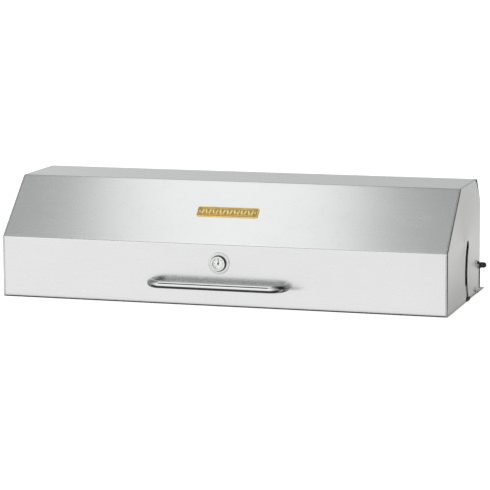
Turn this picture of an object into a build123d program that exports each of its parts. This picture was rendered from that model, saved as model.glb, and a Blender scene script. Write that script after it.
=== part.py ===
from build123d import *
import os
from math import atan2, cos, degrees, hypot, radians, sin

# Roll dome for an outdoor charbroiler. X runs along the width, -Y is the front and +Z is up.
# Every function below measures Y rearwards from the lid's front face. export() then moves each piece
# so that the origin lies at the middle of the whole object's footprint, on its underside.

# ---- driving dimensions, mm ------------------------------------------------------------------
WIDTH = 1168.0            # over the two end panels
SHEET = 1.5               # stainless sheet
LID_BOTTOM = 1.0          # underside of the lid's front return
FRONT_HEIGHT = 157.3      # top of the upright front panel
TOP_FRONT_Y = 151.6       # where the slope meets the flat top
TOP_FRONT_Z = 299.0
TOP_REAR_Y = 348.5        # where the flat top meets the rear facet
TOP_REAR_Z = 300.0
REAR_Y = 398.0            # outer face of the lid's rear wall
FACET_BOTTOM_Z = 232.0
REAR_WALL_BOTTOM = 84.0   # the skirt carries on below this edge
RETURN_DEPTH = 20.0       # inward return under the front panel
BEND_OUTER = 4.0          # outside radius of every fold
SKIRT_TOP = 110.0         # the skirt laps inside the rear wall
SKIRT_BOTTOM = 13.0       # clears the frame as it swings under the pivot
SKIRT_HALF = 576.5
SKIRT_LAP_HALF = 562.0    # narrower above, between the end panels' flanges
PIVOT_Y = 367.2
PIVOT_Z = 74.7
OPEN_ANGLE = 95.0

# end panels
CORNER_RADIUS = 4.0       # fold between an end panel and its flange
CAP_DEPTH = 4.5           # the fold lies flush with the shell, which stops at it
FLANGE = 20.0             # how far the flange laps under the shell
PANEL_BOTTOM = 1.5
PANEL_REAR_Y = 393.0      # free edge below the rear wall
PANEL_SWEEP = 73.0        # radius of the lower rear corner about the pivot
CHAMFER_TOP_Y = 332.7     # the panel's corner is cut back from the facet
CHAMFER_LOW_Z = 239.3
SLOT_RADIUS = 144.4       # centreline of the spit slot, about the pivot
SLOT_WIDTH = 28.0
SLOT_RISE = 28.0          # degrees above level at the closed end
SLOT_FALL = 42.0          # degrees below level, past the panel's edge

# side brackets, rear panel and the plates that join them
RAIL_FRONT_Y = 24.0
RAIL_HEIGHT = 40.0
FOOT_REAR_Y = 371.5       # the bracket's foot meets the rear panel here
TAIL_REAR_Y = 390.0
TAIL_HEIGHT = 36.0
REAR_FLANGE_Y = 457.0
WEB_GAP = 1.2             # between the end panel and the bracket's web
SIDE_FLANGE = 30.0        # bracket's foot, inwards
EAR_RADIUS = 22.0
SECTOR_RADIUS = 84.0      # plate around the stop slot
MOUNT_HOLE = 7.0          # clearance for M6
REAR_HOLE_Y = 430.0
REAR_HOLE_PITCH = 340.0
SIDE_HOLE_X = 563.0
SIDE_HOLE_YS = (80.0, 300.0)
JOIN_PLATE_WIDTH = 24.0
JOIN_PLATE_LENGTH = 76.0
JOIN_PLATE_X = 565.0
RIVET_STEP_X = 14.0
RIVET_STEPS_Y = (-28.0, -12.0, 12.0, 28.0)

# screws
M4 = 4.0
M6 = 6.0
M6_HOLE = 6.4
M6_HEX = 10.0             # across flats
M8_HEX = 13.0

# stop pin
STOP_Y = 335.0
STOP_Z = 15.0
SLEEVE_DIAMETER = 10.0
STOP_SLOT_WIDTH = 11.0
STOP_HEAD = 4.0
STOP_WASHER = 1.5
STOP_NUT = 5.0

# pivot hardware
PIVOT_BOLT = 8.0
RUNNING_CLEARANCE = 0.05
PIVOT_BUSH_OUTER = 12.0
BUSH_FLANGE_LENGTH = 37.0 # two-screw flange, outside the end panel
BUSH_FLANGE_WIDTH = 17.0
BUSH_FLANGE_TILT = 143.0  # degrees from the rear, so that one screw is above and ahead of the pivot
BUSH_SCREW_OFFSET = 12.5
BUSH_SCREW_HEAD = 4.4
BUSH_SCREW_HEAD_DIAMETER = 8.0
BUSH_SCREW_SOCKET = 3.0
KNOB_DIAMETER = 15.0
KNOB_LENGTH = 18.0
PIVOT_WASHER = 3.2

# rubber trim on the end panels' rear edges
TRIM_WIDTH = 7.5
TRIM_THICK = 1.4
TRIM_BOTTOM = 11.0
TRIM_TOP = 64.0

# rubber bumpers
BUMPER_FRONT_Y = 230.0
BUMPER_REAR_Y = 268.0
BUMPER_TOP = 8.9
BUMPER_PROUD = 1.5        # beyond the end panel's outer face
BODY_GAP = 0.3            # between pieces of different bodies that only rest on each other

# handle
HANDLE_TUBE = 19.0
HANDLE_WALL = 1.5
HANDLE_HALF = 176.0       # centreline, from the middle to a leg
HANDLE_STANDOFF = 44.0
HANDLE_BEND = 35.0
HANDLE_Z = 58.0
PLUG_DEPTH = 9.0

# thermometer
GAUGE_Z = 111.0
GAUGE_SHANK = 10.0
GAUGE_FLANGE = 56.0
GAUGE_CASE = 41.6         # at its foot; it tapers to the bezel
GAUGE_BEZEL = 36.0
GAUGE_BORE = 33.6         # of the case, for the dial and the lens
GAUGE_OPENING = 29.6      # of the bezel
GAUGE_FRONT = 10.5        # how far the bezel stands out of the panel
GAUGE_RIM_Y = 0.9 - GAUGE_FRONT
GAUGE_DIAL_Y = -5.0
POINTER_LENGTH = 13.5
SPINDLE_DIAMETER = 1.6
STEM_DIAMETER = 6.35
STEM_LENGTH = 70.0
COIL_START = 40.0
COIL_TURNS = 6
COIL_PITCH = 3.0

# badge
BADGE_LENGTH = 162.0
BADGE_HEIGHT = 32.0
BADGE_UP_SLOPE = 105.3    # its centre, from the foot of the slope
BADGE_THICK = 1.2
BADGE_RIVET_X = 73.0

HALF = WIDTH / 2
SHELL_HALF = HALF - CAP_DEPTH
PANEL_INNER = HALF - SHEET
WEB_OUTER = PANEL_INNER - WEB_GAP
WEB_INNER = WEB_OUTER - SHEET
STOP_SLEEVE_END = WEB_INNER - 2.0
PIVOT_WASHER_SEAT = HALF + SHEET + BODY_GAP
KNOB_SEAT = PIVOT_WASHER_SEAT + PIVOT_WASHER
PIVOT_BOLT_END = KNOB_SEAT + KNOB_LENGTH - 7
OVERALL_FRONT_Y = -HANDLE_STANDOFF - HANDLE_TUBE / 2
FRAME_SHIFT = -(OVERALL_FRONT_Y + REAR_FLANGE_Y) / 2


# ---- helpers ---------------------------------------------------------------------------------
def export(shape, name):
    """Write one piece, moved to the object's own origin."""
    moved = Pos(0, FRAME_SHIFT, 0) * shape
    moved.label = name
    export_step(moved, "parts/" + name + ".step")


def mirrored(shape):
    """The same piece on the other side of the middle plane."""
    return mirror(shape, about=Plane.YZ)


def pair(shape):
    """Two copies, one each side of the middle plane."""
    return Compound([shape, mirrored(shape)])


def side_plane(x):
    """A drawing plane whose axes are Y and Z, at a place along X."""
    return Plane(origin=(x, 0, 0), x_dir=(0, 1, 0), z_dir=(1, 0, 0))


def plate(face, x_from, x_to):
    """Extrude a face drawn in Y and Z between two places along X."""
    return extrude(side_plane(x_from) * face, x_to - x_from)


def inset(points, distances):
    """Move each edge of a clockwise closed outline inwards by its own distance."""
    count = len(points)
    lines = []
    for i in range(count):
        (y0, z0), (y1, z1) = points[i], points[(i + 1) % count]
        length = hypot(y1 - y0, z1 - z0)
        normal = ((z1 - z0) / length, -(y1 - y0) / length)
        lines.append((normal, normal[0] * y0 + normal[1] * z0 + distances[i]))
    corners = []
    for i in range(count):
        (a, d), (b, e) = lines[i - 1], lines[i]
        cross = a[0] * b[1] - a[1] * b[0]
        corners.append(((d * b[1] - e * a[1]) / cross, (a[0] * e - b[0] * d) / cross))
    return corners


def outline(points):
    """A flat face from its corners."""
    return make_face(Polyline(*points, close=True))


def turned_about_x(points, y, z):
    """Revolve a profile of (x, radius) points about a line along X."""
    return Pos(0, y, z) * revolve(outline(points), Axis.X)


def turned_about_y(points, x, z):
    """Revolve a profile of (radius, y) points about a line along Y."""
    return Pos(x, 0, z) * revolve(outline(points), Axis.Y)


def rod_x(diameter, x_from, x_to, y, z):
    """A cylinder along X."""
    return Pos(0, y, z) * plate(Circle(diameter / 2), x_from, x_to)


def rod_y(diameter, y_from, y_to, x, z):
    """A cylinder along Y."""
    middle = (y_from + y_to) / 2
    return Pos(x, middle, z) * Rot(90, 0, 0) * Cylinder(diameter / 2, abs(y_to - y_from))


def hex_x(flats, x_from, x_to, y, z, bore=0.0):
    """A hexagon along X, with an optional bore."""
    body = Pos(0, y, z) * plate(RegularPolygon(flats / 2, 6, major_radius=False), x_from, x_to)
    if bore:
        body -= rod_x(bore, x_from, x_to, y, z)
    return body


def hex_y(flats, y_from, y_to, x, z, bore=0.0):
    """A hexagon along Y, with an optional bore."""
    plane = Plane(origin=(x, y_from, z), x_dir=(1, 0, 0), z_dir=(0, 1, 0))
    body = extrude(plane * RegularPolygon(flats / 2, 6, major_radius=False), y_to - y_from)
    if bore:
        body -= rod_y(bore, y_from, y_to, x, z)
    return body


def ring_x(outer, bore, x_from, x_to, y, z):
    """A flat ring or sleeve along X."""
    return rod_x(outer, x_from, x_to, y, z) - rod_x(bore, x_from, x_to, y, z)


def ring_y(outer, bore, y_from, y_to, x, z):
    """A flat ring or sleeve along Y."""
    return rod_y(outer, y_from, y_to, x, z) - rod_y(bore, y_from, y_to, x, z)


# ---- lid -------------------------------------------------------------------------------------
def beyond_chamfer():
    """Everything above and behind the line where the end panels' top rear corners are cut back."""
    reach = 2 * FLANGE
    return outline([
        (CHAMFER_TOP_Y, TOP_REAR_Z - SHEET),
        (CHAMFER_TOP_Y, TOP_REAR_Z + reach),
        (REAR_Y + reach, TOP_REAR_Z + reach),
        (REAR_Y + reach, CHAMFER_LOW_Z),
        (REAR_Y - SHEET, CHAMFER_LOW_Z),
    ])


def lid_shell():
    """The folded sheet, from the return under the front to the lower edge of the rear wall. It is wider at
    the rear facet, where the end panels are cut back."""
    fold = FilletPolyline(
        (RETURN_DEPTH, LID_BOTTOM),
        (0, LID_BOTTOM),
        (0, FRONT_HEIGHT),
        (TOP_FRONT_Y, TOP_FRONT_Z),
        (TOP_REAR_Y, TOP_REAR_Z),
        (REAR_Y, FACET_BOTTOM_Z),
        (REAR_Y, REAR_WALL_BOTTOM),
        radius=BEND_OUTER,
    )
    section = make_face(offset(fold, SHEET, side=Side.RIGHT))
    shell = plate(section, -SHELL_HALF, SHELL_HALF)
    shell += plate(section & beyond_chamfer(), -HALF, HALF)
    shell -= rod_y(GAUGE_SHANK + 0.5, -1, 5, 0, GAUGE_Z)
    for x in (-HANDLE_HALF, HANDLE_HALF):
        shell -= rod_y(M6_HOLE, -1, 5, x, HANDLE_Z)
    for x in (-BADGE_RIVET_X, BADGE_RIVET_X):
        shell -= badge_plane(x) * Cylinder(1.7, 20)
    return shell


def rear_skirt():
    """Closes the lid's back below the folded sheet. It is narrower where it laps inside the rear wall."""
    lap_y = REAR_Y - SHEET
    lower = Box(2 * SKIRT_HALF, SHEET, REAR_WALL_BOTTOM - 2 - SKIRT_BOTTOM,
                align=(Align.CENTER, Align.MAX, Align.MIN))
    upper = Box(2 * SKIRT_LAP_HALF, SHEET, SKIRT_TOP - SKIRT_BOTTOM,
                align=(Align.CENTER, Align.MAX, Align.MIN))
    skirt = Pos(0, lap_y, SKIRT_BOTTOM) * (lower + upper)
    lower_corners = skirt.edges().filter_by(Axis.Y).filter_by(lambda e: e.center().Z < SKIRT_BOTTOM + 1)
    return fillet(lower_corners, 5)


def badge_plane(x):
    """A plane on the slope at the badge's height, facing out. Local X runs across, local Y up the slope."""
    rise = TOP_FRONT_Z - FRONT_HEIGHT
    length = hypot(TOP_FRONT_Y, rise)
    along = BADGE_UP_SLOPE / length
    centre = (x, TOP_FRONT_Y * along, FRONT_HEIGHT + rise * along)
    return Plane(origin=centre, x_dir=(1, 0, 0), z_dir=(0, -rise, TOP_FRONT_Y))


def arc_slot(radius, width, rise, fall):
    """A curved slot about the pivot, from below level to above level on its front side."""
    centreline = CenterArc((PIVOT_Y, PIVOT_Z), radius, 180 - rise, rise + fall)
    return SlotArc(centreline, width)


def panel_corners(folded, free_inset):
    """The end panel's outline. Folded and free edges lie inside the lid's outline by their own distances."""
    roof = [
        (0, PANEL_BOTTOM),
        (0, FRONT_HEIGHT),
        (TOP_FRONT_Y, TOP_FRONT_Z),
        (TOP_REAR_Y, TOP_REAR_Z),
        (REAR_Y, FACET_BOTTOM_Z),
        (REAR_Y, REAR_WALL_BOTTOM),
        (PANEL_REAR_Y, REAR_WALL_BOTTOM),
        (PANEL_REAR_Y, PANEL_BOTTOM),
    ]
    return inset(roof, 5 * [folded] + 3 * [free_inset])


def is_fold(edge):
    """True where the front, slope, top, facet and rear meet."""
    return edge.center().Z > FRONT_HEIGHT - 5


def carries_flange(edge):
    """True along the outline, apart from the bottom and the free edge below the rear wall."""
    point = edge.center()
    below_rear_wall = point.Y > PANEL_REAR_Y - 1 and point.Z < REAR_WALL_BOTTOM + 1
    return point.Z > PANEL_BOTTOM + 1 and not below_rear_wall


def panel_block(folded, x_from, x_to):
    """A solid block inside the lid's outline, with its folds rounded to match the shell's."""
    block = plate(outline(panel_corners(folded, 0)), x_from, x_to)
    return fillet(block.edges().filter_by(Axis.X).filter_by(is_fold), BEND_OUTER - folded)


def right_end_panel():
    """A shallow pan with the spit slot. Its rim is folded flush with the shell, and then laps under it."""
    cap = panel_block(0, SHELL_HALF, HALF)
    rim = cap.faces().sort_by(Axis.X)[-1].edges().filter_by(carries_flange)
    cap = fillet(rim, CORNER_RADIUS)
    lap = panel_block(SHEET, HALF - FLANGE, PANEL_INNER - CORNER_RADIUS + SHEET)
    cavity = plate(outline(panel_corners(2 * SHEET, -FLANGE)), HALF - 2 * FLANGE, PANEL_INNER)
    cavity = fillet(cavity.faces().sort_by(Axis.X)[-1].edges(), 2)
    panel = cap + lap - cavity
    panel -= plate(beyond_chamfer(), HALF - 2 * FLANGE, HALF + 1)
    # relief over the shell's front return
    relief = Box(2 * FLANGE + 0.6, RETURN_DEPTH + 2, 2 * BEND_OUTER)
    panel -= Pos(SHELL_HALF - FLANGE, RETURN_DEPTH / 2, PANEL_BOTTOM) * relief
    # spit slot, with a step over the bumper beside its mouth
    panel -= plate(arc_slot(SLOT_RADIUS, SLOT_WIDTH, SLOT_RISE, SLOT_FALL), HALF - 2 * SHEET, HALF + 1)
    step_top = BUMPER_TOP + BODY_GAP
    step = rectangle(BUMPER_FRONT_Y - 2, BUMPER_REAR_Y + 2, -step_top, step_top)
    step = fillet(step.vertices(), 2)
    panel -= plate(step, HALF - 2 * SHEET, HALF + 1)
    # lower rear corner, rounded about the pivot
    corner = rectangle(PIVOT_Y, PIVOT_Y + SECTOR_RADIUS, PIVOT_Z - SECTOR_RADIUS, PIVOT_Z)
    corner -= Pos(PIVOT_Y, PIVOT_Z) * Circle(PANEL_SWEEP)
    panel -= plate(corner, HALF - 2 * SHEET, HALF + 1)
    panel -= rod_x(PIVOT_BUSH_OUTER, HALF - 5, HALF + 1, PIVOT_Y, PIVOT_Z)
    panel -= rod_x(M6_HOLE, HALF - 5, HALF + 1, STOP_Y, STOP_Z)
    for y, z in bush_screw_places():
        panel -= rod_x(M4, HALF - 5, HALF + 1, y, z)
    return panel


def right_edge_trim():
    """An L of rubber bonded over the end panel's rear edge, below the pivot."""
    rear = PANEL_REAR_Y + TRIM_THICK
    face = rectangle(rear - TRIM_WIDTH, rear, TRIM_BOTTOM, TRIM_TOP)
    trim = plate(face, PANEL_INNER, HALF + TRIM_THICK)
    outer = trim.faces().sort_by(Axis.X)[-1]
    trim = fillet(outer.edges(), 0.9)
    trim -= plate(rectangle(rear - 2 * TRIM_WIDTH, PANEL_REAR_Y, 0, PIVOT_Z), PANEL_INNER - 1, HALF)
    return trim


def bush_flange_face():
    """The outline of the bush's flange, tilted about the pivot."""
    slot = SlotOverall(BUSH_FLANGE_LENGTH, BUSH_FLANGE_WIDTH)
    return Pos(PIVOT_Y, PIVOT_Z) * Rot(0, 0, BUSH_FLANGE_TILT) * slot


def bush_screw_places():
    """Where the flange's two screws are, as (y, z)."""
    along_y = BUSH_SCREW_OFFSET * cos(radians(BUSH_FLANGE_TILT))
    along_z = BUSH_SCREW_OFFSET * sin(radians(BUSH_FLANGE_TILT))
    return [(PIVOT_Y + side * along_y, PIVOT_Z + side * along_z) for side in (1, -1)]


def right_pivot_bush():
    """A two-screw flanged bush in the end panel. It turns on the pivot bolt."""
    bush = plate(bush_flange_face(), HALF, HALF + SHEET)
    bush += rod_x(PIVOT_BUSH_OUTER, PANEL_INNER, HALF, PIVOT_Y, PIVOT_Z)
    bush -= rod_x(PIVOT_BOLT + 2 * RUNNING_CLEARANCE, PANEL_INNER - 1, HALF + 3, PIVOT_Y, PIVOT_Z)
    for y, z in bush_screw_places():
        bush -= rod_x(M4 + 0.2, HALF - 1, HALF + 3, y, z)
    return bush


def pivot_screws():
    """Socket cap screws through both bush flanges, tapped into the end panels."""
    screws = []
    for y, z in bush_screw_places():
        seat = HALF + SHEET
        top = seat + BUSH_SCREW_HEAD
        edge = BUSH_SCREW_HEAD_DIAMETER / 2
        head = turned_about_x([(seat, 0), (seat, edge), (top - 0.6, edge), (top, edge - 0.6), (top, 0)], y, z)
        head -= hex_x(BUSH_SCREW_SOCKET, top - 2.5, top + 1, y, z)
        screw = head + rod_x(M4, PANEL_INNER, seat, y, z)
        screws += [screw, mirrored(screw)]
    return Compound(screws)


def right_stop_bolt():
    """A hexagon bolt through the end panel, near its lower edge."""
    head = hex_x(M6_HEX, HALF, HALF + STOP_HEAD, STOP_Y, STOP_Z)
    tip = STOP_SLEEVE_END - STOP_WASHER - STOP_NUT - 2
    return head + rod_x(M6, tip, HALF, STOP_Y, STOP_Z)


def right_stop_sleeve():
    """The sleeve that runs in the bracket's stop slot."""
    return ring_x(SLEEVE_DIAMETER, M6 + 0.2, STOP_SLEEVE_END, PANEL_INNER, STOP_Y, STOP_Z)


def right_stop_washer():
    """Between the sleeve and the nut."""
    return ring_x(12, M6 + 0.2, STOP_SLEEVE_END - STOP_WASHER, STOP_SLEEVE_END, STOP_Y, STOP_Z)


def right_stop_nut():
    """Holds the sleeve against the end panel."""
    seat = STOP_SLEEVE_END - STOP_WASHER
    return hex_x(M6_HEX, seat - STOP_NUT, seat, STOP_Y, STOP_Z, bore=M6)


# ---- handle ----------------------------------------------------------------------------------
def handle_path():
    """Centreline of the bow, from the panel out, across and back."""
    return FilletPolyline(
        (-HANDLE_HALF, 0, HANDLE_Z),
        (-HANDLE_HALF, -HANDLE_STANDOFF, HANDLE_Z),
        (HANDLE_HALF, -HANDLE_STANDOFF, HANDLE_Z),
        (HANDLE_HALF, 0, HANDLE_Z),
        radius=HANDLE_BEND,
    )


def handle_tube():
    """The bent tube, open at its two ends."""
    foot = Plane(origin=(-HANDLE_HALF, 0, HANDLE_Z), x_dir=(1, 0, 0), z_dir=(0, -1, 0))
    outside = sweep(foot * Circle(HANDLE_TUBE / 2), path=handle_path())
    inside = sweep(foot * Circle(HANDLE_TUBE / 2 - HANDLE_WALL), path=handle_path())
    return outside - inside


def handle_end_plug():
    """A threaded plug that fills the tube's right foot."""
    bore = HANDLE_TUBE - 2 * HANDLE_WALL
    return ring_y(bore, M6, -PLUG_DEPTH, 0, HANDLE_HALF, HANDLE_Z)


def handle_backing_plate():
    """A stiffening strip inside the front panel, behind the handle's feet."""
    length = 2 * HANDLE_HALF + 50
    strip = Pos(0, SHEET * 1.5, HANDLE_Z) * Box(length, SHEET, 44)
    strip = fillet(strip.edges().filter_by(Axis.Y), 6)
    for x in (-HANDLE_HALF, HANDLE_HALF):
        strip -= rod_y(M6_HOLE, 0, 5, x, HANDLE_Z)
    return strip


def handle_washer():
    """Under the right screw's head."""
    return ring_y(14, M6_HOLE, 2 * SHEET, 3 * SHEET, HANDLE_HALF, HANDLE_Z)


def handle_screw():
    """A pan head screw from inside the lid into the right plug."""
    seat = 3 * SHEET
    head = [(0, seat), (5.5, seat), (5.5, seat + 1.6), (4.2, seat + 3.4), (0, seat + 3.9)]
    screw = turned_about_y(head, HANDLE_HALF, HANDLE_Z)
    return screw + rod_y(M6, 1 - PLUG_DEPTH, seat, HANDLE_HALF, HANDLE_Z)


# ---- badge -----------------------------------------------------------------------------------
def badge_plate():
    """A plain plaque with a raised rim."""
    plane = badge_plane(0)
    base = extrude(plane * RectangleRounded(BADGE_LENGTH, BADGE_HEIGHT, 5), BADGE_THICK)
    rim = RectangleRounded(BADGE_LENGTH, BADGE_HEIGHT, 5)
    rim -= RectangleRounded(BADGE_LENGTH - 5, BADGE_HEIGHT - 5, 3)
    base += extrude(plane.offset(BADGE_THICK) * rim, 0.8)
    for x in (-BADGE_RIVET_X, BADGE_RIVET_X):
        base -= badge_plane(x) * Cylinder(1.6, 10)
    return base


def badge_rivet():
    """A domed rivet at the plaque's right end, headed over inside the lid."""
    profile = [
        (0, -SHEET - 1.2), (2.6, -SHEET - 1.2), (2.6, -SHEET), (1.6, -SHEET), (1.6, BADGE_THICK),
        (3.2, BADGE_THICK), (2.9, BADGE_THICK + 0.7), (1.8, BADGE_THICK + 1.3), (0, BADGE_THICK + 1.6),
    ]
    rivet = revolve(Plane.XZ * outline(profile), Axis.Z)
    return badge_plane(BADGE_RIVET_X) * rivet


# ---- thermometer -----------------------------------------------------------------------------
def thermometer_flange():
    """The bevelled ring against the front panel."""
    outer = GAUGE_FLANGE / 2
    bore = GAUGE_SHANK / 2
    return turned_about_y([
        (bore, 0), (outer, 0), (outer, -1.0), (outer - 1.6, -2.2), (bore, -2.2),
    ], 0, GAUGE_Z)


def thermometer_case():
    """The tapered cup that holds the dial."""
    outer = GAUGE_CASE / 2
    bore = GAUGE_BORE / 2
    return turned_about_y([
        (3.2, -2.2), (outer, -2.2), (outer, -3.4), (GAUGE_BEZEL / 2, GAUGE_RIM_Y), (bore, GAUGE_RIM_Y),
        (bore, -4.4), (bore - 1.4, -3.0), (3.2, -3.0),
    ], 0, GAUGE_Z)


def thermometer_bezel():
    """The polished ring that holds the lens in the case."""
    outer = GAUGE_BEZEL / 2
    inner = GAUGE_OPENING / 2
    return turned_about_y([
        (inner, GAUGE_RIM_Y), (outer, GAUGE_RIM_Y), (outer, GAUGE_RIM_Y - 0.3), (outer - 0.6, -GAUGE_FRONT),
        (inner + 0.7, -GAUGE_FRONT), (inner, GAUGE_RIM_Y - 0.3),
    ], 0, GAUGE_Z)


def thermometer_lens():
    """A flat glass behind the bezel."""
    return rod_y(GAUGE_BORE, GAUGE_RIM_Y, GAUGE_RIM_Y + 1.6, 0, GAUGE_Z)


def thermometer_dial():
    """The printed disc, pierced for the spindle."""
    return ring_y(GAUGE_BORE, 3.0, GAUGE_DIAL_Y, GAUGE_DIAL_Y + 0.5, 0, GAUGE_Z)


def thermometer_bush():
    """The threaded shank behind the flange, through the front panel."""
    shank = GAUGE_SHANK / 2
    return turned_about_y([
        (3.2, -2.2), (shank, -2.2), (shank, 14.0), (3.2, 14.0),
    ], 0, GAUGE_Z)


def thermometer_stem():
    """The probe, a thin tube closed at its tip."""
    outer = STEM_DIAMETER / 2
    bore = outer - 0.5
    return turned_about_y([
        (SPINDLE_DIAMETER / 2 + RUNNING_CLEARANCE, -3.0), (outer, -3.0), (outer, STEM_LENGTH - 2),
        (outer - 2, STEM_LENGTH), (0, STEM_LENGTH), (0, STEM_LENGTH - 1), (bore, STEM_LENGTH - 1),
        (bore, -2.2), (SPINDLE_DIAMETER / 2 + RUNNING_CLEARANCE, -2.2),
    ], 0, GAUGE_Z)


def thermometer_washer():
    """Between the front panel and the nut."""
    return ring_y(18, GAUGE_SHANK + 0.2, SHEET, 2 * SHEET, 0, GAUGE_Z)


def thermometer_nut():
    """Clamps the thermometer from inside."""
    return hex_y(15, 2 * SHEET, 2 * SHEET + 5, 0, GAUGE_Z, bore=GAUGE_SHANK)


def bimetal_coil():
    """The strip that turns the spindle, wound inside the probe."""
    radius = 1.9
    helix = Helix(COIL_PITCH, COIL_PITCH * COIL_TURNS, radius)
    strip = Plane(origin=helix @ 0, z_dir=helix % 0, x_dir=(0, 0, 1)) * Rectangle(1.4, 0.3)
    coil = sweep(strip, path=helix, is_frenet=True)
    return Pos(0, COIL_START, GAUGE_Z) * Rot(-90, 0, 0) * coil


def thermometer_spindle():
    """Carries the pointer, and runs back to the coil."""
    return rod_y(SPINDLE_DIAMETER, GAUGE_DIAL_Y - 2.2, COIL_START + COIL_PITCH * COIL_TURNS, 0, GAUGE_Z)


def thermometer_pointer():
    """A tapered needle on a hub, pointing straight up."""
    face_y = GAUGE_DIAL_Y - 1.2
    tip = POINTER_LENGTH
    blade = outline([
        (-1.2, 0), (-0.45, tip - 1), (0, tip), (0.45, tip - 1), (1.2, 0), (0.9, -5.0), (-0.9, -5.0),
    ])
    plane = Plane(origin=(0, face_y, GAUGE_Z), x_dir=(1, 0, 0), z_dir=(0, -1, 0))
    needle = extrude(plane * blade, 0.4) + extrude(plane * Circle(2.6), 0.7)
    return needle - rod_y(SPINDLE_DIAMETER, face_y - 3, face_y + 3, 0, GAUGE_Z)


# ---- fixed frame -----------------------------------------------------------------------------
def rectangle(y_from, y_to, z_from, z_to):
    """A face between two places along Y and two along Z."""
    face = Rectangle(y_to - y_from, z_to - z_from, align=(Align.MIN, Align.MIN))
    return Pos(y_from, z_from) * face


def stop_slot():
    """The curved slot that the stop sleeve runs in. Its two ends stop the lid."""
    reach_y = STOP_Y - PIVOT_Y
    reach_z = STOP_Z - PIVOT_Z
    closed = degrees(atan2(reach_z, reach_y)) + 360
    centreline = CenterArc((PIVOT_Y, PIVOT_Z), hypot(reach_y, reach_z), closed - OPEN_ANGLE, OPEN_ANGLE)
    return SlotArc(centreline, STOP_SLOT_WIDTH)


def join_rivet_places():
    """Rivets through a join plate: two rows of four, half in the foot and half in the rear panel."""
    return [(JOIN_PLATE_X + side * RIVET_STEP_X / 2, FOOT_REAR_Y + step)
            for side in (-1, 1) for step in RIVET_STEPS_Y]


def right_side_bracket():
    """Low rail, pivot ear and stop slot in one web, with a foot inwards."""
    rail = rectangle(RAIL_FRONT_Y, FOOT_REAR_Y, 0, RAIL_HEIGHT)
    front_top = rail.vertices().sort_by(Axis.X)[:2].sort_by(Axis.Y)[-1]
    rail = fillet(front_top, 12)
    tail = rectangle(PIVOT_Y - 10, TAIL_REAR_Y, SHEET + 0.1, TAIL_HEIGHT)
    sector = Pos(PIVOT_Y, PIVOT_Z) * Circle(SECTOR_RADIUS)
    sector &= outline([
        (PIVOT_Y, 0),
        (PIVOT_Y - 110, 0),
        (PIVOT_Y - 110, PIVOT_Z + 52),
        (PIVOT_Y - 58, PIVOT_Z + 52),
        (PIVOT_Y, PIVOT_Z + EAR_RADIUS),
    ])
    ear = Pos(PIVOT_Y, PIVOT_Z) * Circle(EAR_RADIUS)
    web = rail + tail + sector + ear
    web -= stop_slot()
    web -= Pos(PIVOT_Y, PIVOT_Z) * Circle(PIVOT_BOLT / 2 + 0.1)
    for y in (BUMPER_FRONT_Y + 9, BUMPER_REAR_Y - 9):
        web -= Pos(y, (BUMPER_TOP + SHEET) / 2) * Circle(1.8)
    bracket = plate(web, WEB_INNER, WEB_OUTER)
    length = FOOT_REAR_Y - RAIL_FRONT_Y
    foot = Box(SIDE_FLANGE, length, SHEET, align=(Align.MAX, Align.MIN, Align.MIN))
    bracket += Pos(WEB_OUTER, RAIL_FRONT_Y, 0) * foot
    for y in SIDE_HOLE_YS:
        bracket -= Pos(SIDE_HOLE_X, y, 0) * Cylinder(MOUNT_HOLE / 2, 10)
    for x, y in join_rivet_places():
        bracket -= Pos(x, y, 0) * Cylinder(2, 10)
    return bracket


def rear_panel():
    """The rear flange, across the full width."""
    depth = REAR_FLANGE_Y - FOOT_REAR_Y
    panel = Pos(0, REAR_FLANGE_Y, 0) * Box(WIDTH, depth, SHEET, align=(Align.CENTER, Align.MAX, Align.MIN))
    rear_corners = panel.edges().filter_by(Axis.Z).filter_by(lambda e: e.center().Y > REAR_FLANGE_Y - 1)
    panel = fillet(rear_corners, 3)
    for i in range(4):
        x = (i - 1.5) * REAR_HOLE_PITCH
        panel -= Pos(x, REAR_HOLE_Y, 0) * Cylinder(MOUNT_HOLE / 2, 10)
    for x, y in join_rivet_places():
        for side in (-1, 1):
            panel -= Pos(side * x, y, 0) * Cylinder(2, 10)
    return panel


def right_join_plate():
    """Laps the bracket's foot and the rear panel."""
    join = Pos(JOIN_PLATE_X, FOOT_REAR_Y, 1.5 * SHEET) * Box(JOIN_PLATE_WIDTH, JOIN_PLATE_LENGTH, SHEET)
    join = fillet(join.edges().filter_by(Axis.Z), 4)
    for x, y in join_rivet_places():
        join -= Pos(x, y, 0) * Cylinder(2, 10)
    return join


def join_rivets():
    """Flush below, domed above."""
    rivets = []
    for x, y in join_rivet_places():
        top = 2 * SHEET
        profile = [(0, 0), (2, 0), (2, top), (3.4, top), (3.0, top + 0.6), (1.8, top + 1.1), (0, top + 1.2)]
        rivet = Pos(x, y, 0) * revolve(Plane.XZ * outline(profile), Axis.Z)
        rivets += [rivet, mirrored(rivet)]
    return Compound(rivets)


def right_bumper():
    """A rubber rest on the web's outer side, with two stems pushed through the web."""
    face = rectangle(BUMPER_FRONT_Y, BUMPER_REAR_Y, LID_BOTTOM, BUMPER_TOP)
    block = plate(face, WEB_OUTER, HALF + BUMPER_PROUD)
    block = fillet(block.edges().filter_by(Axis.X), 1.5)
    for y in (BUMPER_FRONT_Y + 9, BUMPER_REAR_Y - 9):
        z = (BUMPER_TOP + SHEET) / 2
        block += rod_x(3.6, WEB_INNER, WEB_OUTER, y, z)
        tip = WEB_INNER - 4
        barb = [(WEB_INNER, 0), (WEB_INNER, 2.8), (WEB_INNER - 0.8, 2.8), (tip, 1.2), (tip, 0)]
        block += turned_about_x(barb, y, z)
    return block


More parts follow.
